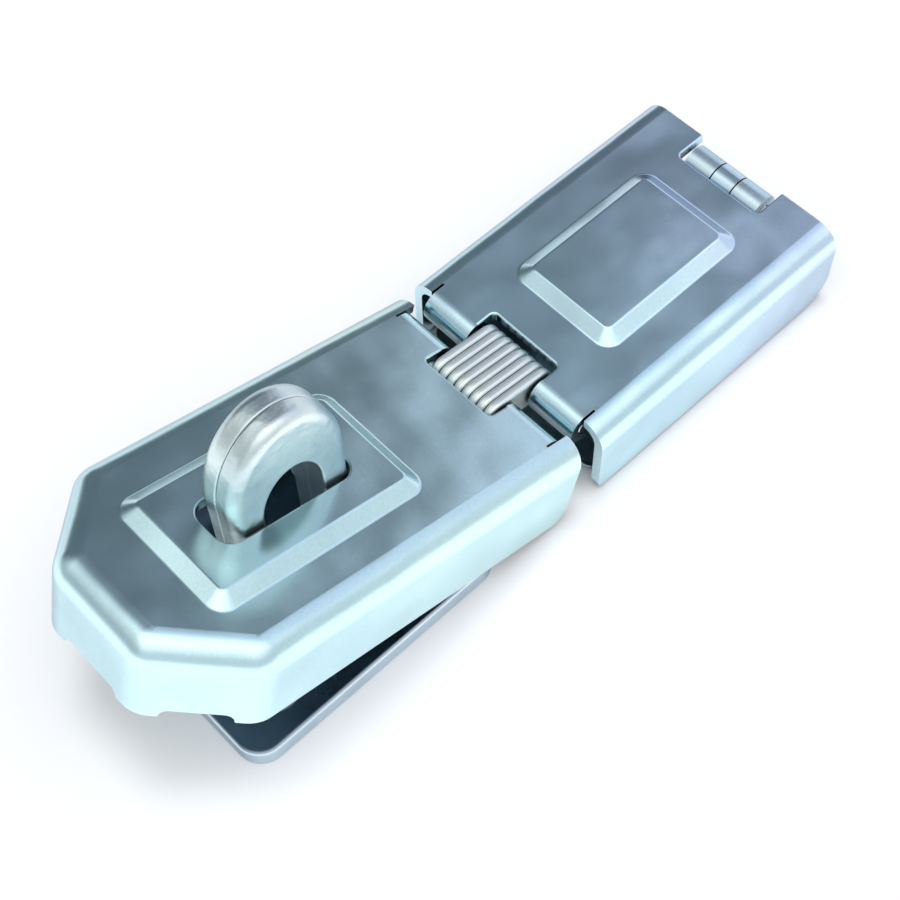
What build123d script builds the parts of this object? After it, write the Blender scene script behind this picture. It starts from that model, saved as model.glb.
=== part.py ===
"""Flexible (double-jointed) hasp in pressed steel, with a plate-mounted staple threaded through it.

Millimetres, +Z up. The origin is on the mounting face, at the centre of the hinge base plate's
screw holes. +X runs to the base hinge, -X to the chamfered tip of the hasp leaf. Lengths along X
are counted from the joint end of the hinge leaf's skirts, which lies at datum_x.
"""
import os
from math import cos, radians, sin, sqrt

from build123d import *

# Sheet and fits
sheet = 1.9
run_fit = 0.05
side_gap = 0.3
mount_gap = 0.5
pin_r = 1.6
knuckle_r = pin_r + run_fit + sheet

# Overall
overall_len = 155.0
leaf_w = 48.6
leaf_h = 18.0
bend_r = 4.8
half_w = leaf_w / 2
pin_z = leaf_h - knuckle_r

# Hinge leaf
hinge_leaf_len = 63.5
hinge_pin_in = 0.9
far_corner_r = 6.0
skirt_corner_r = 1.5
rim_r = 0.4
base_pin_x = hinge_leaf_len - knuckle_r
tongue_half = 2.4
tongue_lap = 2.5
base_knuckle_len = 6.2
base_knuckle_in = tongue_half + side_gap
base_knuckle_out = base_knuckle_in + base_knuckle_len
notch_gap = 1.1
notch_half = base_knuckle_out + notch_gap
notch_x = base_pin_x - sqrt((knuckle_r + 0.35) ** 2 - (knuckle_r - sheet) ** 2)

# Pressed panels
press_up = 1.8
press_run = 2.7
press_corner = 3.4
press_top_corner = 1.1
press_top_r = 0.8
press_foot_r = 0.8
press_wall = 0.8
hinge_panel_x0 = 13.4
hinge_panel_x1 = 49.3
hinge_panel_w = 24.9
hasp_panel_tip_in = 13.4
hasp_panel_len = 44.8
hasp_panel_w = 27.0

# Hasp leaf
link_len = 10.0
hasp_pin_in = 3.9
hasp_leaf_len = overall_len - (hinge_leaf_len - hinge_pin_in) - link_len + hasp_pin_in
hasp_panel_mid = -hasp_leaf_len + hasp_panel_tip_in + hasp_panel_len / 2
tip_x = 14.7
tip_y = 13.6
tip_corner_r = 6.0
ear_drop = 2.0
hasp_sink = 0.4
skirt_taper = 1.2
hasp_corner_r = 3.5
rest_pitch = 15.5
staple_slot_x = hasp_panel_mid
staple_slot_len = 27.6
staple_slot_w = 9.9
staple_slot_r = 3.2

# Link
link_count = 8
link_plate_t = 1.85
link_pitch_y = 1.9
link_r = 3.5
link_rise = 7.0
link_edge_r = 0.7
link_half_w = link_count * link_pitch_y / 2
link_slot_half = link_half_w + 0.7
link_slot_run = link_r + 0.7
link_slot_r = 1.0
roll_out = half_w - bend_r - 0.5
roll_slit = 0.5

# Base plate under the hinge leaf
base_x0 = 1.0
base_half_w = half_w - sheet - 0.7
base_screw_r = 2.3
base_sink_r = 3.5
base_screw_x0 = 21.5
base_screw_x1 = 49.5
base_screw_y = 13.0
datum_x = -(base_screw_x0 + base_screw_x1) / 2

# Staple
staple_half_w = 11.7
staple_crown = 16.0
staple_plate_t = 4.3
staple_top = 56.0
staple_seam = 0.04
staple_seam_r = 0.35
staple_off = 1.0
eye_half_w = 6.0
eye_crown = 9.0
eye_top = 43.6
eye_edge_r = 0.5
staple_round = 2.0
plate_len = 57.0
plate_w = 46.4
plate_t = 4.0
plate_corner_r = 5.0
plate_screw_x = 17.0
plate_screw_y = 14.5
plate_screw_r = 2.6
plate_sink_r = 4.4

# Where the two link pins sit in the rest pose
pin_a_x = hinge_pin_in
pin_b_x = pin_a_x - link_len * cos(radians(link_rise))
pin_b_z = pin_z + link_len * sin(radians(link_rise))

# Frame of the pitched hasp leaf: X to its joint end, Z square to its top
pitch_c = cos(radians(rest_pitch))
pitch_s = sin(radians(rest_pitch))
leaf_x = Vector(pitch_c, 0, -pitch_s)
leaf_z = Vector(pitch_s, 0, pitch_c)
leaf_o = Vector(datum_x + pin_b_x, 0, pin_b_z) + leaf_x * hasp_pin_in - leaf_z * pin_z


def leaf_pt(x, y, z):
    """Point of the hasp leaf's own frame, in the shared frame."""
    return leaf_o + leaf_x * x + Vector(0, y, 0) + leaf_z * z


# The staple stands upright in the slot, a little nearer to its joint end
staple_x = leaf_pt(staple_slot_x, 0, leaf_h + press_up - sheet / 2).X - datum_x + staple_off


def leaf_level(z):
    """Plane of the hasp leaf at height z over its own datum."""
    return Plane(origin=leaf_pt(0, 0, z), x_dir=leaf_x, z_dir=leaf_z)


def leaf_side(y):
    """Upright plane along the hasp leaf, sketch Y up its height, facing -Y."""
    return Plane(origin=leaf_pt(0, y, 0), x_dir=leaf_x, z_dir=(0, -1, 0))


def world_side(y):
    """Upright plane along X, sketch Y along +Z, facing -Y."""
    return Plane(origin=(datum_x, y, 0), x_dir=(1, 0, 0), z_dir=(0, -1, 0))


def level(z):
    """Level plane at height z."""
    return Plane(origin=(datum_x, 0, z))


def leaf_height_of(shape):
    """Height of an edge or face over the hasp leaf's datum."""
    return (shape.center() - leaf_o).dot(leaf_z)


def leaf_run_of(shape):
    """Distance of an edge or face along the hasp leaf, zero at its joint end."""
    return (shape.center() - leaf_o).dot(leaf_x)


os.makedirs("parts", exist_ok=True)

# Base plate: screwed to the door, folded up into two knuckles that show in the leaf's end notch.
with BuildPart() as hinge_base_plate:
    with BuildSketch(level(0)) as base_outline:
        with Locations(((base_x0 + hinge_leaf_len) / 2, 0)):
            Rectangle(hinge_leaf_len - base_x0, 2 * base_half_w)
        fillet(base_outline.vertices(), 3.0)
    extrude(amount=sheet)
    for y_side in (base_knuckle_in, -base_knuckle_out):
        with BuildSketch(world_side(y_side)) as base_riser:
            with Locations((hinge_leaf_len - sheet / 2, pin_z / 2)):
                Rectangle(sheet, pin_z)
        extrude(amount=-base_knuckle_len)
        with BuildSketch(world_side(y_side)) as base_curl:
            with Locations((base_pin_x, pin_z)):
                Circle(knuckle_r)
                Circle(pin_r + run_fit, mode=Mode.SUBTRACT)
            with BuildLine():
                Polyline(
                    (base_pin_x, pin_z),
                    (base_pin_x + 9, pin_z),
                    (base_pin_x + 9, pin_z - 9),
                    (base_pin_x + 4, pin_z - 9),
                    close=True,
                )
            make_face(mode=Mode.SUBTRACT)
        extrude(amount=-base_knuckle_len)
    for screw_x in (base_screw_x0, base_screw_x1):
        for screw_y in (base_screw_y, -base_screw_y):
            with Locations((datum_x + screw_x, screw_y, sheet)):
                CounterSinkHole(base_screw_r, base_sink_r, depth=sheet)
    fillet(
        hinge_base_plate.edges()
        .filter_by(Axis.Y)
        .filter_by(lambda e: e.center().X > datum_x + hinge_leaf_len - 0.1 and e.center().Z < 0.1),
        1.6,
    )
hinge_base_plate.part.label = "hinge_base_plate"
export_step(hinge_base_plate.part, "parts/hinge_base_plate.step")

# Base hinge pin through the two base knuckles and the leaf's tongue.
with BuildPart() as base_hinge_pin:
    with BuildSketch(world_side(base_knuckle_out)):
        with Locations((base_pin_x, pin_z)):
            Circle(pin_r)
    extrude(amount=2 * base_knuckle_out)
    chamfer(base_hinge_pin.edges(), 0.3)
base_hinge_pin.part.label = "base_hinge_pin"
export_step(base_hinge_pin.part, "parts/base_hinge_pin.step")

# Hinge leaf: pressed tray over the base plate, with a raised panel and rolled link knuckles.
with BuildPart() as hinge_leaf:
    with BuildSketch(world_side(half_w)) as hinge_profile:
        with BuildLine():
            Polyline(
                (0, mount_gap),
                (0, leaf_h),
                (hinge_leaf_len, leaf_h),
                (hinge_leaf_len, mount_gap),
                close=True,
            )
        make_face()
        fillet(
            hinge_profile.vertices().filter_by(lambda v: v.X > hinge_leaf_len - 0.1 and v.Y < 1.0),
            far_corner_r,
        )
        fillet(
            hinge_profile.vertices().filter_by(lambda v: v.X < 0.1 and v.Y < 1.0),
            skirt_corner_r,
        )
    extrude(amount=leaf_w)
    fillet(
        hinge_leaf.edges().filter_by(Axis.X).filter_by(lambda e: e.center().Z > leaf_h - 0.1),
        bend_r,
    )
    with BuildSketch(Plane(origin=(datum_x - 1, 0, 0), x_dir=(0, 1, 0), z_dir=(1, 0, 0))) as hinge_hollow:
        with Locations((0, (leaf_h - sheet) / 2)):
            Rectangle(leaf_w - 2 * sheet, leaf_h - sheet)
        fillet(hinge_hollow.vertices().filter_by(lambda v: v.Y > 1.0), bend_r - sheet)
    extrude(amount=hinge_leaf_len + 2, mode=Mode.SUBTRACT)
    # Raised panel and its hollow underside
    panel_mid = (hinge_panel_x0 + hinge_panel_x1) / 2
    panel_len = hinge_panel_x1 - hinge_panel_x0
    with BuildSketch(level(leaf_h - 0.01)):
        with Locations((panel_mid, 0)):
            RectangleRounded(panel_len, hinge_panel_w, press_corner)
    with BuildSketch(level(leaf_h + press_up)):
        with Locations((panel_mid, 0)):
            RectangleRounded(
                panel_len - 2 * press_run, hinge_panel_w - 2 * press_run, press_top_corner
            )
    loft()
    fillet(
        hinge_leaf.edges().filter_by(lambda e: e.center().Z > leaf_h + press_up - 0.01),
        press_top_r,
    )
    fillet(
        hinge_leaf.edges().filter_by(
            lambda e: abs(e.center().Z - leaf_h) < 0.01
            and abs(e.center().Y) < hinge_panel_w / 2 + 0.1
            and abs(e.center().X - datum_x - panel_mid) < panel_len / 2 + 0.1
        ),
        press_foot_r,
    )
    inner_len = panel_len - 2 * press_wall
    inner_w = hinge_panel_w - 2 * press_wall
    with BuildSketch(level(leaf_h - sheet - 0.01)):
        with Locations((panel_mid, 0)):
            RectangleRounded(inner_len, inner_w, press_corner)
    with BuildSketch(level(leaf_h - sheet + press_up)):
        with Locations((panel_mid, 0)):
            RectangleRounded(inner_len - 2 * press_run, inner_w - 2 * press_run, press_top_corner)
    loft(mode=Mode.SUBTRACT)
    # Joint end: sheet trimmed back to the pin, slits beside the bends, slot for the link
    with BuildSketch(level(leaf_h - sheet - 0.2)):
        with Locations(((pin_a_x - 4) / 2, 0)):
            Rectangle(pin_a_x + 4, 2 * roll_out)
        for y_slit in (roll_out + roll_slit / 2, -roll_out - roll_slit / 2):
            with Locations(((pin_a_x - 1) / 2, y_slit)):
                Rectangle(pin_a_x + 5, roll_slit)
        with Locations(((pin_a_x + link_slot_run - 4) / 2, 0)):
            RectangleRounded(pin_a_x + link_slot_run + 4, 2 * link_slot_half, link_slot_r)
    extrude(amount=sheet + 1.0, mode=Mode.SUBTRACT)
    fillet(
        hinge_leaf.edges().filter_by(
            lambda e: abs(e.center().Z - leaf_h) < 0.01
            and abs(e.center().Y) < link_slot_half + 0.1
            and pin_a_x + 0.1 < e.center().X - datum_x < pin_a_x + link_slot_run + 0.1
        ),
        rim_r,
    )
    for y_roll in (roll_out, -link_slot_half):
        with BuildSketch(world_side(y_roll)):
            with Locations((pin_a_x, pin_z)):
                Circle(knuckle_r)
                Circle(pin_r + run_fit, mode=Mode.SUBTRACT)
            with BuildLine():
                Polyline(
                    (pin_a_x, pin_z),
                    (pin_a_x + 6, pin_z - 2),
                    (pin_a_x + 6, pin_z + 6),
                    (pin_a_x, pin_z + 6),
                    close=True,
                )
            make_face(mode=Mode.SUBTRACT)
        extrude(amount=roll_out - link_slot_half)
    # Far end: notch for the base knuckles, and a tongue set down under the top and rolled round the pin
    with BuildSketch(level(leaf_h - sheet - 0.2)) as end_notch:
        with Locations(((notch_x + hinge_leaf_len + 2) / 2, 0)):
            Rectangle(hinge_leaf_len + 2 - notch_x, 2 * notch_half)
        fillet(end_notch.vertices().filter_by(lambda v: v.X < notch_x + 0.1), notch_gap - 0.1)
    extrude(amount=sheet + 1.0, mode=Mode.SUBTRACT)
    fillet(
        hinge_leaf.edges().filter_by(
            lambda e: abs(e.center().Z - leaf_h) < 0.01
            and abs(e.center().Y) < notch_half + 0.1
            and e.center().X - datum_x > notch_x - 0.1
        ),
        rim_r,
    )
    tongue_top = leaf_h - sheet + 0.1
    with BuildSketch(world_side(tongue_half)):
        with Locations((base_pin_x, pin_z)):
            Circle(knuckle_r)
        with Locations(((notch_x - tongue_lap + base_pin_x) / 2, (pin_z + tongue_top) / 2)):
            Rectangle(base_pin_x - notch_x + tongue_lap, tongue_top - pin_z)
        with Locations((base_pin_x, pin_z)):
            Circle(pin_r + run_fit, mode=Mode.SUBTRACT)
    extrude(amount=2 * tongue_half)
hinge_leaf.part.label = "hinge_leaf"
export_step(hinge_leaf.part, "parts/hinge_leaf.step")

# Inner link pin, held in the hinge leaf's two rolled knuckles.
with BuildPart() as link_pin_inner:
    with BuildSketch(world_side(roll_out)):
        with Locations((pin_a_x, pin_z)):
            Circle(pin_r)
    extrude(amount=2 * roll_out)
    chamfer(link_pin_inner.edges(), 0.3)
link_pin_inner.part.label = "link_pin_inner"
export_step(link_pin_inner.part, "parts/link_pin_inner.step")

# Link: a stack of equal hardened plates on the two pins.
link_mid = ((pin_a_x + pin_b_x) / 2, (pin_z + pin_b_z) / 2)
link_dir = (cos(radians(link_rise)), 0, -sin(radians(link_rise)))
for plate_no in range(link_count):
    plate_y = link_half_w - plate_no * link_pitch_y - (link_pitch_y - link_plate_t) / 2
    link_plane = Plane(
        origin=(datum_x + link_mid[0], plate_y, link_mid[1]), x_dir=link_dir, z_dir=(0, -1, 0)
    )
    with BuildPart() as link_plate:
        with BuildSketch(link_plane):
            SlotCenterToCenter(link_len, 2 * link_r)
        extrude(amount=link_plate_t)
        fillet(link_plate.edges().filter_by(lambda e: abs(e.tangent_at(0.5).Y) < 0.5), link_edge_r)
        with BuildSketch(link_plane):
            with Locations((link_len / 2, 0), (-link_len / 2, 0)):
                Circle(pin_r + run_fit)
        extrude(amount=link_plate_t, mode=Mode.SUBTRACT)
    link_name = "link_plate_" + str(plate_no + 1)
    link_plate.part.label = link_name
    export_step(link_plate.part, "parts/" + link_name + ".step")

# Hasp leaf: pressed tray with a half-hexagonal tip, drawn corners, raised panel and staple slot.
with BuildPart() as hasp_leaf:
    tip_outline = (
        (0, half_w),
        (0, -half_w),
        (-hasp_leaf_len + tip_x, -half_w),
        (-hasp_leaf_len, -half_w + tip_y),
        (-hasp_leaf_len, half_w - tip_y),
        (-hasp_leaf_len + tip_x, half_w),
    )
    with BuildSketch(leaf_level(-hasp_sink)) as hasp_outline:
        Polygon(*tip_outline, align=None)
        fillet(hasp_outline.vertices().filter_by(lambda v: v.X < -1), tip_corner_r)
    extrude(amount=leaf_h + hasp_sink)
    # The skirts get a little shallower towards the tip and are rounded off at the joint
    with BuildSketch(leaf_side(half_w + 1)):
        Polygon(
            (0, -hasp_sink),
            (-hasp_leaf_len - 1, -hasp_sink),
            (-hasp_leaf_len - 1, skirt_taper - hasp_sink),
            align=None,
        )
    extrude(amount=leaf_w + 2, mode=Mode.SUBTRACT)
    fillet(
        hasp_leaf.edges().filter_by(Axis.Y).filter_by(
            lambda e: leaf_run_of(e) > -0.1 and leaf_height_of(e) < 1
        ),
        hasp_corner_r,
    )
    fillet(
        hasp_leaf.edges().filter_by(lambda e: leaf_height_of(e) > leaf_h - 0.1 and leaf_run_of(e) < -1),
        bend_r,
    )
    with BuildSketch(leaf_level(-1)) as hasp_hollow:
        Polygon(*tip_outline, align=None)
        fillet(hasp_hollow.vertices().filter_by(lambda v: v.X < -1), tip_corner_r)
        offset(amount=-sheet, kind=Kind.INTERSECTION, mode=Mode.REPLACE)
        with Locations((-5, 0)):
            Rectangle(12, leaf_w - 2 * sheet)
    extrude(amount=leaf_h - sheet + 1, mode=Mode.SUBTRACT)
    fillet(
        hasp_leaf.edges().filter_by(
            lambda e: abs(leaf_height_of(e) - leaf_h + sheet) < 0.01 and leaf_run_of(e) < -1
        ),
        bend_r - sheet,
    )
    # Raised panel and its hollow underside
    with BuildSketch(leaf_level(leaf_h - 0.01)):
        with Locations((hasp_panel_mid, 0)):
            RectangleRounded(hasp_panel_len, hasp_panel_w, press_corner)
    with BuildSketch(leaf_level(leaf_h + press_up)):
        with Locations((hasp_panel_mid, 0)):
            RectangleRounded(
                hasp_panel_len - 2 * press_run, hasp_panel_w - 2 * press_run, press_top_corner
            )
    loft()
    fillet(
        hasp_leaf.edges().filter_by(lambda e: leaf_height_of(e) > leaf_h + press_up - 0.01),
        press_top_r,
    )
    fillet(
        hasp_leaf.edges().filter_by(
            lambda e: abs(leaf_height_of(e) - leaf_h) < 0.01
            and abs(e.center().Y) < hasp_panel_w / 2 + 0.1
            and abs(leaf_run_of(e) - hasp_panel_mid) < hasp_panel_len / 2 + 0.1
        ),
        press_foot_r,
    )
    hasp_inner_len = hasp_panel_len - 2 * press_wall
    hasp_inner_w = hasp_panel_w - 2 * press_wall
    with BuildSketch(leaf_level(leaf_h - sheet - 0.01)):
        with Locations((hasp_panel_mid, 0)):
            RectangleRounded(hasp_inner_len, hasp_inner_w, press_corner)
    with BuildSketch(leaf_level(leaf_h - sheet + press_up)):
        with Locations((hasp_panel_mid, 0)):
            RectangleRounded(
                hasp_inner_len - 2 * press_run, hasp_inner_w - 2 * press_run, press_top_corner
            )
    loft(mode=Mode.SUBTRACT)
    # Slot for the staple
    with BuildSketch(leaf_level(leaf_h - sheet)):
        with Locations((staple_slot_x, 0)):
            RectangleRounded(staple_slot_len, staple_slot_w, staple_slot_r)
    extrude(amount=2 * sheet + press_up, mode=Mode.SUBTRACT)
    fillet(
        hasp_leaf.edges().filter_by(
            lambda e: leaf_height_of(e) > leaf_h + press_up - 0.01
            and abs(e.center().Y) < staple_slot_w / 2 + 0.1
            and abs(leaf_run_of(e) - staple_slot_x) < staple_slot_len / 2 + 0.1
        ),
        rim_r,
    )
    # Joint end: sheet trimmed back to the pin, slits beside the bends, slot for the link
    with BuildSketch(leaf_level(leaf_h - sheet - 0.2)):
        with Locations((-hasp_pin_in / 2 + 2, 0)):
            Rectangle(hasp_pin_in + 4, 2 * roll_out)
        for y_slit in (roll_out + roll_slit / 2, -roll_out - roll_slit / 2):
            with Locations((-hasp_pin_in / 2 + 1, y_slit)):
                Rectangle(hasp_pin_in + 4, roll_slit)
        with Locations((-(hasp_pin_in + link_slot_run) / 2 + 2, 0)):
            RectangleRounded(hasp_pin_in + link_slot_run + 4, 2 * link_slot_half, link_slot_r)
    extrude(amount=sheet + 1.0, mode=Mode.SUBTRACT)
    fillet(
        hasp_leaf.edges().filter_by(
            lambda e: abs(leaf_height_of(e) - leaf_h) < 0.01
            and abs(e.center().Y) < link_slot_half + 0.1
            and 0.1 < -hasp_pin_in - leaf_run_of(e) < link_slot_run + 0.1
        ),
        rim_r,
    )
    for y_roll in (roll_out, -link_slot_half):
        with BuildSketch(leaf_side(y_roll)):
            with Locations((-hasp_pin_in, pin_z)):
                Circle(knuckle_r)
                Circle(pin_r + run_fit, mode=Mode.SUBTRACT)
            with BuildLine():
                Polyline(
                    (-hasp_pin_in, pin_z),
                    (-hasp_pin_in - 6, pin_z - 2),
                    (-hasp_pin_in - 6, pin_z + 6),
                    (-hasp_pin_in, pin_z + 6),
                    close=True,
                )
            make_face(mode=Mode.SUBTRACT)
        extrude(amount=roll_out - link_slot_half)
    # Drawn edge: the tip's walls are trimmed a little between the corners, which stay low as ears
    tip_face = sqrt(tip_x**2 + tip_y**2)
    facet_mid = (-hasp_leaf_len + tip_x / 2, half_w - tip_y / 2)
    trims = (
        (facet_mid[0], -facet_mid[1], tip_x / tip_face, -tip_y / tip_face, tip_face - 8),
        (facet_mid[0], facet_mid[1], tip_x / tip_face, tip_y / tip_face, tip_face - 8),
        (-hasp_leaf_len, 0, 0, 1, leaf_w - 2 * tip_y - 8),
    )
    for trim_x, trim_y, dir_x, dir_y, trim_len in trims:
        trim_dir = leaf_x * dir_x + Vector(0, dir_y, 0)
        trim_plane = Plane(
            origin=leaf_pt(trim_x, trim_y, mount_gap), x_dir=trim_dir, z_dir=trim_dir.cross(leaf_z)
        )
        with BuildSketch(trim_plane):
            RectangleRounded(trim_len, 2 * ear_drop, ear_drop * 0.9)
        extrude(amount=3.2, both=True, mode=Mode.SUBTRACT)
hasp_leaf.part.label = "hasp_leaf"
export_step(hasp_leaf.part, "parts/hasp_leaf.step")

# Outer link pin, held in the hasp leaf's two rolled knuckles.
with BuildPart() as link_pin_outer:
    with BuildSketch(world_side(roll_out)):
        with Locations((pin_b_x, pin_b_z)):
            Circle(pin_r)
    extrude(amount=2 * roll_out)
    chamfer(link_pin_outer.edges(), 0.3)
link_pin_outer.part.label = "link_pin_outer"
export_step(link_pin_outer.part, "parts/link_pin_outer.step")

# Staple: two equal arched plates side by side, their legs let into the base plate.
staple_mid_z = staple_top - staple_crown
eye_mid_z = eye_top - eye_crown
leg_foot = 0.3
for staple_name, y_face, y_way in (
    ("staple_plate_front", -staple_seam / 2, 1),
    ("staple_plate_back", staple_seam / 2, -1),
):
    with BuildPart() as staple_plate:
        with BuildSketch(world_side(y_face)):
            with Locations((staple_x, (staple_mid_z + leg_foot) / 2)):
                Rectangle(2 * staple_half_w, staple_mid_z - leg_foot)
            with Locations((staple_x, staple_mid_z)):
                Ellipse(staple_half_w, staple_crown)
            with Locations((staple_x, eye_mid_z / 2)):
                Rectangle(2 * eye_half_w, eye_mid_z, mode=Mode.SUBTRACT)
            with Locations((staple_x, eye_mid_z)):
                Ellipse(eye_half_w, eye_crown, mode=Mode.SUBTRACT)
        extrude(amount=y_way * staple_plate_t)
        staple_out_y = y_face - y_way * staple_plate_t
        for edge_y, on_rim, edge_r in (
            (staple_out_y, True, staple_round),
            (y_face, True, staple_seam_r),
            (staple_out_y, False, eye_edge_r),
        ):
            face_edges = staple_plate.edges().filter_by(
                lambda e: abs(e.position_at(0.5).Y - edge_y) < 0.01 and e.position_at(0.5).Z > plate_t
            )
            fillet(
                face_edges.filter_by(
                    lambda e: on_rim
                    == (
                        abs(e.position_at(0.5).X - datum_x - staple_x) > staple_half_w - 0.1
                        or e.position_at(0.5).Z > staple_top - 0.1
                    )
                ),
                edge_r,
            )
    staple_plate.part.label = staple_name
    export_step(staple_plate.part, "parts/" + staple_name + ".step")

# Staple base plate: rounded corners, four countersunk holes, one pocket for each pair of legs.
with BuildPart() as staple_base_plate:
    with BuildSketch(level(0)):
        with Locations((staple_x, 0)):
            RectangleRounded(plate_len, plate_w, plate_corner_r)
    extrude(amount=plate_t)
    fillet(staple_base_plate.edges().filter_by(lambda e: e.center().Z > plate_t - 0.01), 0.8)
    leg_mid = (staple_half_w + eye_half_w) / 2
    with BuildSketch(level(0)):
        with Locations((staple_x + leg_mid, 0), (staple_x - leg_mid, 0)):
            Rectangle(
                staple_half_w - eye_half_w + 2 * run_fit, 2 * staple_plate_t + staple_seam + 2 * run_fit
            )
    extrude(amount=plate_t, mode=Mode.SUBTRACT)
    for screw_x in (staple_x + plate_screw_x, staple_x - plate_screw_x):
        for screw_y in (plate_screw_y, -plate_screw_y):
            with Locations((datum_x + screw_x, screw_y, plate_t)):
                CounterSinkHole(plate_screw_r, plate_sink_r, depth=plate_t)
staple_base_plate.part.label = "staple_base_plate"
export_step(staple_base_plate.part, "parts/staple_base_plate.step")
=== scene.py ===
"""Flexible hasp in blue-bright zinc plate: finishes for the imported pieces, floor, light and camera."""
import math

import bpy
from mathutils import Matrix, Vector

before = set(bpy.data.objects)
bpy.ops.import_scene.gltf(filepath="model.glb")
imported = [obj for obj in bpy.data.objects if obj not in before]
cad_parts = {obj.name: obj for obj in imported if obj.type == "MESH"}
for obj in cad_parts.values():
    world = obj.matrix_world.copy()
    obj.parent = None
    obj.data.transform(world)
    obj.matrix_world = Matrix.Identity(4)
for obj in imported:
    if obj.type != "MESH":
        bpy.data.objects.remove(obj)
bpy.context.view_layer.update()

# Hinge base plate: blanked from flat steel sheet, folded up into two knuckles and zinc plated.
# It is screwed to the door under the hinge leaf, so only the knuckles show, in the end notch.


def put(tree, kind, feeds=None, **settings):
    """One node of a tree: settings are its properties, feeds its sockets, each a value or a link."""
    node = tree.nodes.new(kind)
    for name, value in settings.items():
        setattr(node, name, value)
    for socket, value in (feeds or {}).items():
        if isinstance(value, bpy.types.NodeSocket):
            tree.links.new(value, node.inputs[socket])
        else:
            node.inputs[socket].default_value = value
    return node


def ramp(tree, value, start, end, low=0.0, high=1.0, easing="SMOOTHSTEP"):
    """Goes from low to high as value goes from start to end, and stays level outside them."""
    feeds = {0: value, 1: start, 2: end, 3: low, 4: high}
    return put(tree, "ShaderNodeMapRange", feeds, interpolation_type=easing).outputs[0]


def reckon(tree, operation, *terms):
    """One sum on the terms, such as their product."""
    return put(tree, "ShaderNodeMath", dict(enumerate(terms)), operation=operation).outputs[0]


def mixed(tree, share, first, second, blend_type="MIX"):
    """The first colour turned into the second by share."""
    feeds = {0: share, 6: first, 7: second}
    return put(tree, "ShaderNodeMix", feeds, data_type="RGBA", blend_type=blend_type).outputs[2]


def lies_along(tree, place, way):
    """How far a place or direction lies along a way: their dot product."""
    return put(tree, "ShaderNodeVectorMath", {0: place, 1: way}, operation="DOT_PRODUCT").outputs["Value"]


def scaled(tree, colour, level):
    """A colour times a level."""
    return put(tree, "ShaderNodeVectorMath", {0: colour, 3: level}, operation="SCALE").outputs[0]


def noise(tree, place, scale, detail, distortion=0.0):
    """Cloudy value over the surface; scale is in waves to the metre."""
    feeds = {"Vector": place, "Scale": scale, "Detail": detail, "Distortion": distortion}
    return put(tree, "ShaderNodeTexNoise", feeds).outputs["Fac"]


def effect(name, inputs, outputs):
    """Empty shader group with named sockets, its inputs as sockets and its output node."""
    tree = bpy.data.node_groups.new(name, "ShaderNodeTree")
    for title, kind in inputs:
        tree.interface.new_socket(title, in_out="INPUT", socket_type=kind)
    for title, kind in outputs:
        tree.interface.new_socket(title, in_out="OUTPUT", socket_type=kind)
    return tree, tree.nodes.new("NodeGroupInput").outputs, tree.nodes.new("NodeGroupOutput")


# Passivated zinc: cloudy patches of the bath colour and a fine grain, with a sheen that thickens
# along the piece, the way it hung in the bath.
bloom, bloom_in, bloom_out = effect(
    "zinc_bloom",
    (
        ("Vector", "NodeSocketVector"),
        ("Plate", "NodeSocketColor"),
        ("Cloud", "NodeSocketColor"),
        ("Sheen", "NodeSocketColor"),
        ("Cloud Amount", "NodeSocketFloat"),
        ("Sheen Amount", "NodeSocketFloat"),
        ("Drift From", "NodeSocketFloat"),
        ("Drift To", "NodeSocketFloat"),
    ),
    (("Color", "NodeSocketColor"),),
)
cloud_scale, sheen_scale, grain_scale = 70.0, 24.0, 1900.0
sheen_swirl, sheen_least = 0.6, 0.55
grain_dark, grain_pale = 0.97, 1.02
cloud_mask = ramp(bloom, noise(bloom, bloom_in["Vector"], cloud_scale, 4.0), 0.40, 0.64)
cloud_share = reckon(bloom, "MULTIPLY", cloud_mask, bloom_in["Cloud Amount"])
clouded = mixed(bloom, cloud_share, bloom_in["Plate"], bloom_in["Cloud"])
sheen_noise = noise(bloom, bloom_in["Vector"], sheen_scale, 2.0, sheen_swirl)
sheen_mask = ramp(bloom, sheen_noise, 0.34, 0.62, sheen_least, 1.0)
along_x = put(bloom, "ShaderNodeSeparateXYZ", {0: bloom_in["Vector"]}).outputs["X"]
drifted = ramp(bloom, along_x, bloom_in["Drift From"], bloom_in["Drift To"])
sheen_part = reckon(bloom, "MULTIPLY", sheen_mask, drifted)
sheen_share = reckon(bloom, "MULTIPLY", sheen_part, bloom_in["Sheen Amount"])
sheened = mixed(bloom, sheen_share, clouded, bloom_in["Sheen"])
grain_noise = noise(bloom, bloom_in["Vector"], grain_scale, 2.0)
grain = ramp(bloom, grain_noise, 0.3, 0.7, grain_dark, grain_pale, "LINEAR")
bloom.links.new(scaled(bloom, sheened, grain), bloom_out.inputs["Color"])

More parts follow.
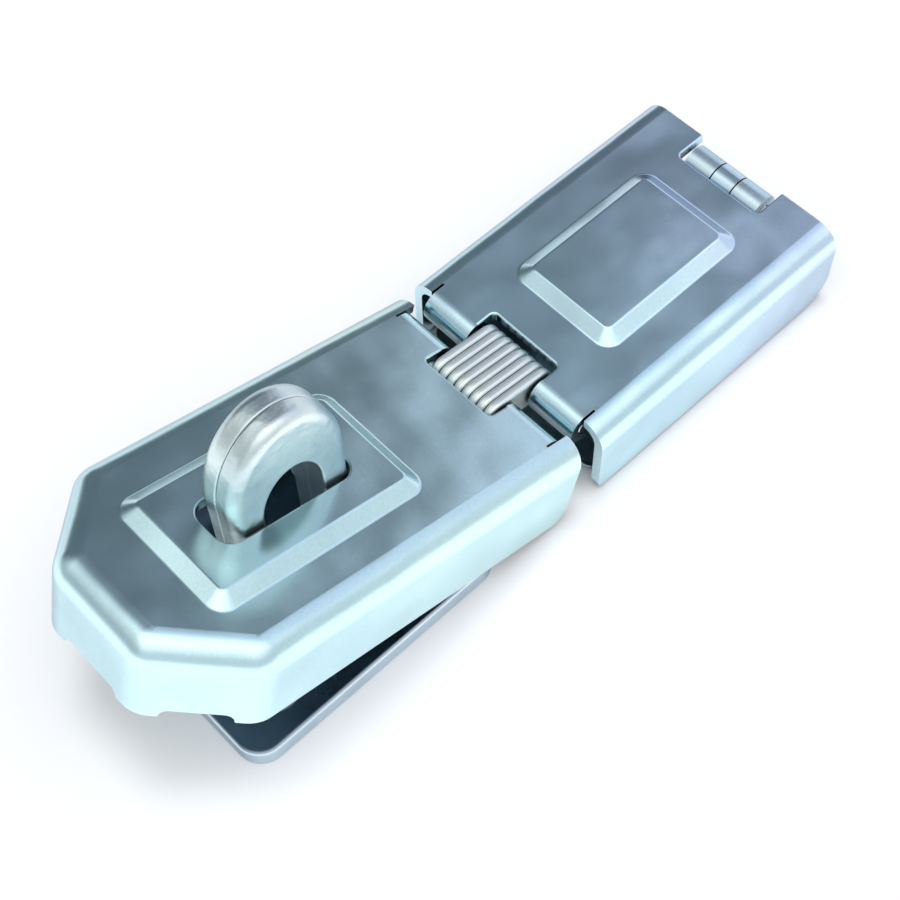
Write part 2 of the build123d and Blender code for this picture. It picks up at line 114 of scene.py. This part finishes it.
# Plated skin: orange-peel of the bright bath over faint rolling lines that run along the sheet,
# and the slow sway of a pressed face that is never quite flat.
skin, skin_in, skin_out = effect(
    "plated_skin",
    (
        ("Vector", "NodeSocketVector"),
        ("Roughness", "NodeSocketFloat"),
        ("Spread", "NodeSocketFloat"),
        ("Lines", "NodeSocketFloat"),
    ),
    (("Roughness", "NodeSocketFloat"), ("Height", "NodeSocketFloat"), ("Sway", "NodeSocketFloat")),
)
peel_scale, smear_scale, sway_scale = 420.0, 130.0, 46.0
line_scale = (26.0, 900.0, 900.0)
peel = noise(skin, skin_in["Vector"], peel_scale, 3.0)
along_sheet = put(skin, "ShaderNodeMapping", {"Vector": skin_in["Vector"], "Scale": line_scale}).outputs[0]
line_height = reckon(skin, "MULTIPLY", noise(skin, along_sheet, 1.0, 2.0), skin_in["Lines"])
smear_off = reckon(skin, "SUBTRACT", noise(skin, skin_in["Vector"], smear_scale, 4.0), 0.5)
skin_rough = reckon(skin, "MULTIPLY_ADD", smear_off, skin_in["Spread"], skin_in["Roughness"])
skin.links.new(skin_rough, skin_out.inputs["Roughness"])
skin.links.new(reckon(skin, "ADD", peel, line_height), skin_out.inputs["Height"])
skin.links.new(noise(skin, skin_in["Vector"], sway_scale, 1.5), skin_out.inputs["Sway"])

# Rubbed edges: where a small bevel would turn the surface, the plate is burnished paler.
rub, rub_in, rub_out = effect(
    "edge_rub",
    (("Vector", "NodeSocketVector"), ("Radius", "NodeSocketFloat"), ("Amount", "NodeSocketFloat")),
    (("Mask", "NodeSocketFloat"),),
)
wear_scale, wear_least = 300.0, 0.45
bevelled = put(rub, "ShaderNodeBevel", {"Radius": rub_in["Radius"]}, samples=6).outputs[0]
rub_turn = lies_along(rub, bevelled, put(rub, "ShaderNodeNewGeometry").outputs["Normal"])
rub_edge = ramp(rub, rub_turn, 0.995, 0.86, easing="LINEAR")
rub_break = ramp(rub, noise(rub, rub_in["Vector"], wear_scale, 3.0), 0.3, 0.6, wear_least, 1.0, "LINEAR")
rub_part = reckon(rub, "MULTIPLY", rub_edge, rub_break)
rub.links.new(reckon(rub, "MULTIPLY", rub_part, rub_in["Amount"]), rub_out.inputs["Mask"])

# Painted shade: where ambient occlusion finds the surroundings closed in, in slots, seams and the
# undersides of the trays, the colour is turned towards near-black, standing in for the shade there.
shade_group, shade_group_in, shade_group_out = effect(
    "painted_recess_shade",
    (("Reach", "NodeSocketFloat"), ("Amount", "NodeSocketFloat")),
    (("Mask", "NodeSocketFloat"),),
)
openness = put(shade_group, "ShaderNodeAmbientOcclusion", {"Distance": shade_group_in["Reach"]}, samples=8).outputs["AO"]
shut_in = ramp(shade_group, openness, 0.44, 0.14)
shade_group.links.new(reckon(shade_group, "MULTIPLY", shut_in, shade_group_in["Amount"]), shade_group_out.inputs["Mask"])

rubbed_colour = (0.90, 0.93, 0.94, 1.0)
# Near-black colour and share of the painted shade in slots, seams and under the trays.
painted_shade_colour = (0.035, 0.05, 0.065, 1.0)
rub_radius, rub_dulling = 0.0005, 0.12
painted_shade_amount = 0.94
peel_depth = 0.0002
broad_tilt, broad_level = 0.70, 0.97


def zinc_finish(
    name,
    *,
    plate,
    cloud,
    sheen,
    clouds,
    sheens,
    drift,
    rough,
    spread,
    lines,
    rubbed,
    reach,
    bump,
    sway_depth,
    edge,
    level_face_shade=None,
):
    """Zinc-plated steel from the four effects above, with its own colours and amounts.

    Drift is the stretch along X where the sheen comes in, edge the tint of the metal at a glancing
    angle, and broad the painted shade that the level faces are multiplied by, darker than the rim.
    """
    finish = bpy.data.materials.new(name)
    finish.use_nodes = True
    tree = finish.node_tree
    shader = tree.nodes["Principled BSDF"]
    on_piece = put(tree, "ShaderNodeTexCoord").outputs
    place = on_piece["Object"]
    bath = {
        "Vector": place,
        "Plate": (*plate, 1.0),
        "Cloud": (*cloud, 1.0),
        "Sheen": (*sheen, 1.0),
        "Cloud Amount": clouds,
        "Sheen Amount": sheens,
        "Drift From": drift[0],
        "Drift To": drift[1],
    }
    touch = {"Vector": place, "Roughness": rough, "Spread": spread, "Lines": lines}
    wear = {"Vector": place, "Radius": rub_radius, "Amount": rubbed}
    shade_feeds = {"Reach": reach, "Amount": painted_shade_amount}
    colour = put(tree, "ShaderNodeGroup", bath, node_tree=bloom).outputs["Color"]
    surface = put(tree, "ShaderNodeGroup", touch, node_tree=skin).outputs
    edge_mask = put(tree, "ShaderNodeGroup", wear, node_tree=rub).outputs["Mask"]
    painted_shade_mask = put(tree, "ShaderNodeGroup", shade_feeds, node_tree=shade_group).outputs["Mask"]
    # Painted shade: the level faces, top and underside, are made darker than the rim.
    if level_face_shade is not None:
        upright = put(tree, "ShaderNodeSeparateXYZ", {0: on_piece["Normal"]}).outputs["Z"]
        level = reckon(tree, "ABSOLUTE", upright)
        flat = ramp(tree, level, broad_tilt, broad_level, easing="LINEAR")
        shade = mixed(tree, flat, (1.0, 1.0, 1.0, 1.0), (*level_face_shade, 1.0))
        colour = mixed(tree, 1.0, colour, shade, "MULTIPLY")
    paled = mixed(tree, edge_mask, colour, rubbed_colour)
    # Painted shade: the colour goes towards near-black where the surroundings are closed in.
    shaded_colour = mixed(tree, painted_shade_mask, paled, painted_shade_colour)
    dulled = reckon(tree, "MULTIPLY_ADD", edge_mask, rub_dulling, surface["Roughness"])
    sway = {"Strength": 1.0, "Distance": sway_depth, "Height": surface["Sway"]}
    swayed = put(tree, "ShaderNodeBump", sway).outputs[0]
    peel = {"Strength": bump, "Distance": peel_depth, "Height": surface["Height"], "Normal": swayed}
    dimpled = put(tree, "ShaderNodeBump", peel).outputs[0]
    tree.links.new(shaded_colour, shader.inputs["Base Color"])
    tree.links.new(dulled, shader.inputs["Roughness"])
    tree.links.new(dimpled, shader.inputs["Normal"])
    shader.inputs["Metallic"].default_value = 1.0
    shader.inputs["Specular Tint"].default_value = (*edge, 1.0)
    return finish


def dress(node_name, finish):
    """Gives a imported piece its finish."""
    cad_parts[node_name].material_slots[0].material = finish


base_zinc = zinc_finish(
    "base_plate_zinc",
    plate=(0.66, 0.84, 0.90),
    cloud=(0.54, 0.72, 0.79),
    sheen=(0.74, 0.86, 0.95),
    clouds=0.6,
    sheens=0.4,
    drift=(-0.02, 0.03),
    rough=0.28,
    spread=0.16,
    lines=0.5,
    rubbed=0.7,
    reach=0.02,
    bump=0.08,
    sway_depth=0.0006,
    edge=(0.40, 0.46, 0.52),
)
dress("hinge_base_plate", base_zinc)

# Base hinge pin: a plain bright steel pin, pressed through the base plate's two knuckles.
# The leaf's rolled tongue turns on it between them.
pin_steel = zinc_finish(
    "pin_bright_steel",
    plate=(0.66, 0.69, 0.71),
    cloud=(0.58, 0.62, 0.66),
    sheen=(0.66, 0.66, 0.70),
    clouds=0.5,
    sheens=0.2,
    drift=(-0.06, 0.03),
    rough=0.24,
    spread=0.12,
    lines=0.2,
    rubbed=0.5,
    reach=0.004,
    bump=0.06,
    sway_depth=0.0002,
    edge=(0.50, 0.52, 0.55),
)
dress("base_hinge_pin", pin_steel)

# Hinge leaf: a tray pressed from one sheet, with a raised panel and rolled knuckles, bright zinc
# plated and blue passivated. It swings on the base pin and hides the base plate and its screws.
hinge_zinc = zinc_finish(
    "hinge_leaf_zinc",
    plate=(0.64, 0.88, 0.95),
    cloud=(0.56, 0.78, 0.87),
    sheen=(0.70, 0.85, 1.0),
    clouds=0.5,
    sheens=0.9,
    drift=(-0.03, 0.02),
    rough=0.22,
    spread=0.1,
    lines=0.2,
    rubbed=0.5,
    reach=0.02,
    bump=0.02,
    sway_depth=0.0011,
    edge=(0.54, 0.52, 0.53),
)
dress("hinge_leaf", hinge_zinc)

# Inner link pin: a plain bright steel pin, held in the hinge leaf's two rolled knuckles.
# The link's plates turn on it between them.
dress("link_pin_inner", pin_steel)

# Link: a stack of equal hardened plates, blanked with rounded ends, tumbled and plated before
# they are stacked on the two link pins.
link_plates = 8
link_zinc = zinc_finish(
    "link_plate_zinc",
    plate=(0.90, 0.96, 0.95),
    cloud=(0.80, 0.88, 0.88),
    sheen=(0.88, 0.92, 0.94),
    clouds=0.6,
    sheens=0.3,
    drift=(-0.048, -0.03),
    rough=0.46,
    spread=0.16,
    lines=0.15,
    rubbed=0.8,
    reach=0.003,
    bump=0.08,
    sway_depth=0.0002,
    edge=(0.50, 0.54, 0.56),
)
for plate_no in range(1, link_plates + 1):
    dress("link_plate_%d" % plate_no, link_zinc)

# Hasp leaf: the second pressed tray, with a half-hexagonal drawn tip, raised panel and staple
# slot, from the same sheet and bath as the hinge leaf.
hasp_zinc = zinc_finish(
    "hasp_leaf_zinc",
    plate=(0.64, 0.88, 0.92),
    cloud=(0.56, 0.77, 0.83),
    sheen=(0.72, 0.95, 0.95),
    clouds=0.45,
    sheens=0.9,
    drift=(-0.10, -0.05),
    rough=0.22,
    spread=0.1,
    lines=0.2,
    rubbed=0.5,
    reach=0.02,
    bump=0.02,
    sway_depth=0.0009,
    edge=(0.54, 0.52, 0.53),
)
dress("hasp_leaf", hasp_zinc)

# Outer link pin: a plain bright steel pin, held in the hasp leaf's two rolled knuckles.
# The link's other end turns on it.
dress("link_pin_outer", pin_steel)

# Staple: two arched steel plates side by side, tumbled round along their outer edges and plated,
# their legs let into the base plate.
staple_zinc = zinc_finish(
    "staple_zinc",
    plate=(0.77, 0.87, 0.85),
    cloud=(0.50, 0.63, 0.66),
    sheen=(0.72, 0.80, 0.88),
    clouds=0.7,
    sheens=0.3,
    drift=(-0.10, -0.075),
    rough=0.34,
    spread=0.2,
    lines=0.1,
    rubbed=0.6,
    reach=0.005,
    bump=0.75,
    sway_depth=0.0004,
    edge=(0.42, 0.48, 0.52),
)
dress("staple_plate_front", staple_zinc)
dress("staple_plate_back", staple_zinc)

# Staple base plate: thick blanked plate with rounded corners and countersunk holes. Its level
# faces are painted dark, standing in for the shade and dark reflection under the hasp leaf; the rim is
# not.
staple_base_zinc = zinc_finish(
    "staple_base_zinc",
    plate=(0.62, 0.72, 0.78),
    cloud=(0.48, 0.58, 0.64),
    sheen=(0.70, 0.78, 0.84),
    clouds=0.6,
    sheens=0.5,
    drift=(-0.12, -0.06),
    rough=0.26,
    spread=0.14,
    lines=0.3,
    rubbed=1.0,
    reach=0.02,
    bump=0.06,
    sway_depth=0.0004,
    edge=(0.40, 0.46, 0.52),
    level_face_shade=(0.13, 0.155, 0.195),
)
dress("staple_base_plate", staple_base_zinc)

# Floor: a wide pale sheet of paper under the hasp, which keeps its shadow. The metal sees the paper
# a little brighter on the near and left side than it is lit.
floor_half, floor_z = 6.0, -0.0001
paper_colour = (0.95, 0.95, 0.955, 1.0)
camera_lift, metal_lift = 0.03, 0.30
lifted_way, lift_edge = (-0.80, -0.80, 0.0), 0.02
floor_mesh = bpy.data.meshes.new("floor")
floor_mesh.from_pydata(
    [
        (-floor_half, -floor_half, floor_z),
        (floor_half, -floor_half, floor_z),
        (floor_half, floor_half, floor_z),
        (-floor_half, floor_half, floor_z),
    ],
    [],
    [(0, 1, 2, 3)],
)
floor = bpy.data.objects.new("floor", floor_mesh)
bpy.context.scene.collection.objects.link(floor)
paper = bpy.data.materials.new("floor_paper")
paper.use_nodes = True
paper_tree = paper.node_tree
paper_tree.nodes.clear()
paper_body = put(paper_tree, "ShaderNodeBsdfDiffuse", {"Color": paper_colour})
ray = put(paper_tree, "ShaderNodeLightPath").outputs
in_metal = reckon(paper_tree, "MAXIMUM", ray["Is Glossy Ray"], ray["Is Transmission Ray"])
floor_place = put(paper_tree, "ShaderNodeTexCoord").outputs["Object"]
near_left = lies_along(paper_tree, floor_place, lifted_way)
near_lift = ramp(paper_tree, near_left, -lift_edge, lift_edge, 0.0, metal_lift)
seen_lift = reckon(paper_tree, "MULTIPLY", in_metal, near_lift)
lift = reckon(paper_tree, "MULTIPLY_ADD", ray["Is Camera Ray"], camera_lift, seen_lift)
paper_glow = put(paper_tree, "ShaderNodeEmission", {"Color": (1.0, 1.0, 1.0, 1.0), "Strength": lift})
paper_sum = put(paper_tree, "ShaderNodeAddShader", {0: paper_body.outputs[0], 1: paper_glow.outputs[0]})
put(paper_tree, "ShaderNodeOutputMaterial", {"Surface": paper_sum.outputs[0]})
floor_mesh.materials.append(paper)

# Light: a very large soft source over the front and left, brightest overhead, above a greyer wall
# and a little dimmer at the far left. Beyond the far right lies a dark blue-grey room, paler
# towards the front and under its ceiling on the window side.
window_white = (1.06, 1.07, 1.08, 1.0)
wall_grey = (0.72, 0.75, 0.79, 1.0)
overhead_white = (1.50, 1.51, 1.52, 1.0)
room_dark = (0.13, 0.155, 0.18, 1.0)
room_pale = (0.73, 0.77, 0.93, 1.0)
room_way, right_way = (0.70, 0.60, 0.15), (1.0, -0.6, 0.0)
window_way, left_way = (1.0, -1.0, 0.0), (-0.60, 0.80, 0.0)
front_paleness, ceiling_least, ceiling_most = 0.9, 0.14, 0.68
left_level = 0.72
room = bpy.data.worlds.new("studio")
bpy.context.scene.world = room
room.use_nodes = True
sky = room.node_tree
sky.nodes.clear()
way = put(sky, "ShaderNodeTexCoord").outputs["Generated"]
heading = put(sky, "ShaderNodeSeparateXYZ", {0: way}).outputs
far_right = ramp(sky, lies_along(sky, way, room_way), 0.10, 0.60)
room_share = reckon(sky, "MULTIPLY", far_right, ramp(sky, heading["Z"], 0.02, 0.22))
paler_right = ramp(sky, lies_along(sky, way, right_way), 0.42, 0.60)
paler_front = ramp(sky, heading["Y"], 0.30, 0.08, 0.0, front_paleness)
paler_side = reckon(sky, "ADD", paler_right, paler_front)
window_side = ramp(sky, lies_along(sky, way, window_way), 0.10, 0.22, ceiling_least, ceiling_most)
ceiling = ramp(sky, heading["Z"], 0.73, 0.775)
paler = reckon(sky, "MULTIPLY_ADD", ceiling, window_side, paler_side)
room_colour = mixed(sky, paler, room_dark, room_pale)
above_floor = ramp(sky, heading["Z"], 0.04, 0.20)
below_window = ramp(sky, heading["Z"], 0.48, 0.72, 1.0, 0.0)
wall = reckon(sky, "MULTIPLY", above_floor, below_window)
walled = mixed(sky, wall, window_white, wall_grey)
soft_box = mixed(sky, ramp(sky, heading["Z"], 0.72, 0.92), walled, overhead_white)
far_left = ramp(sky, lies_along(sky, way, left_way), 0.30, 0.55)
left_shade = reckon(sky, "MULTIPLY", far_left, ramp(sky, heading["Z"], 0.12, 0.30))
shaded_box = scaled(sky, soft_box, ramp(sky, left_shade, 0.0, 1.0, 1.0, left_level, "LINEAR"))
sky_colour = mixed(sky, room_share, shaded_box, room_colour)
sky_light = put(sky, "ShaderNodeBackground", {"Color": sky_colour, "Strength": 1.0})
put(sky, "ShaderNodeOutputWorld", {"Surface": sky_light.outputs[0]})

# Lamp: a soft lamp overhead that lays the shadow of the raised tip on the paper. The metal doesn't
# mirror it, so it lights the paper alone.
lamp_way = Vector((0.10, 0.12, 1.0))
lamp_data = bpy.data.lights.new("shadow_lamp", "SUN")
lamp_data.energy = 0.80
lamp_data.angle = math.radians(20.0)
lamp = bpy.data.objects.new("shadow_lamp", lamp_data)
lamp.rotation_euler = lamp_way.to_track_quat("Z", "Y").to_euler()
lamp.visible_glossy = False
bpy.context.scene.collection.objects.link(lamp)

# Camera: looks down at the joint from the front left, as the photograph does.
look_az = math.radians(-41.863)
look_el = math.radians(58.905)
look_roll = math.radians(-1.926)
look_at = Vector((-0.049188, 0.000627, 0.0))
look_from = 0.318039
back = Vector(
    (
        math.sin(look_az) * math.cos(look_el),
        -math.cos(look_az) * math.cos(look_el),
        math.sin(look_el),
    )
)
level_right = Vector((math.cos(look_az), math.sin(look_az), 0.0))
level_up = back.cross(level_right)
right = math.cos(look_roll) * level_right + math.sin(look_roll) * level_up
up = math.cos(look_roll) * level_up - math.sin(look_roll) * level_right
lens = bpy.data.cameras.new("camera")
lens.sensor_width = 36.0
lens.lens = 68.48
lens.clip_start = 0.01
camera = bpy.data.objects.new("camera", lens)
turn = Matrix((right, up, back)).transposed().to_4x4()
camera.matrix_world = Matrix.Translation(look_at + back * look_from) @ turn
bpy.context.scene.collection.objects.link(camera)
bpy.context.scene.camera = camera
bpy.context.scene.view_settings.view_transform = "Standard"
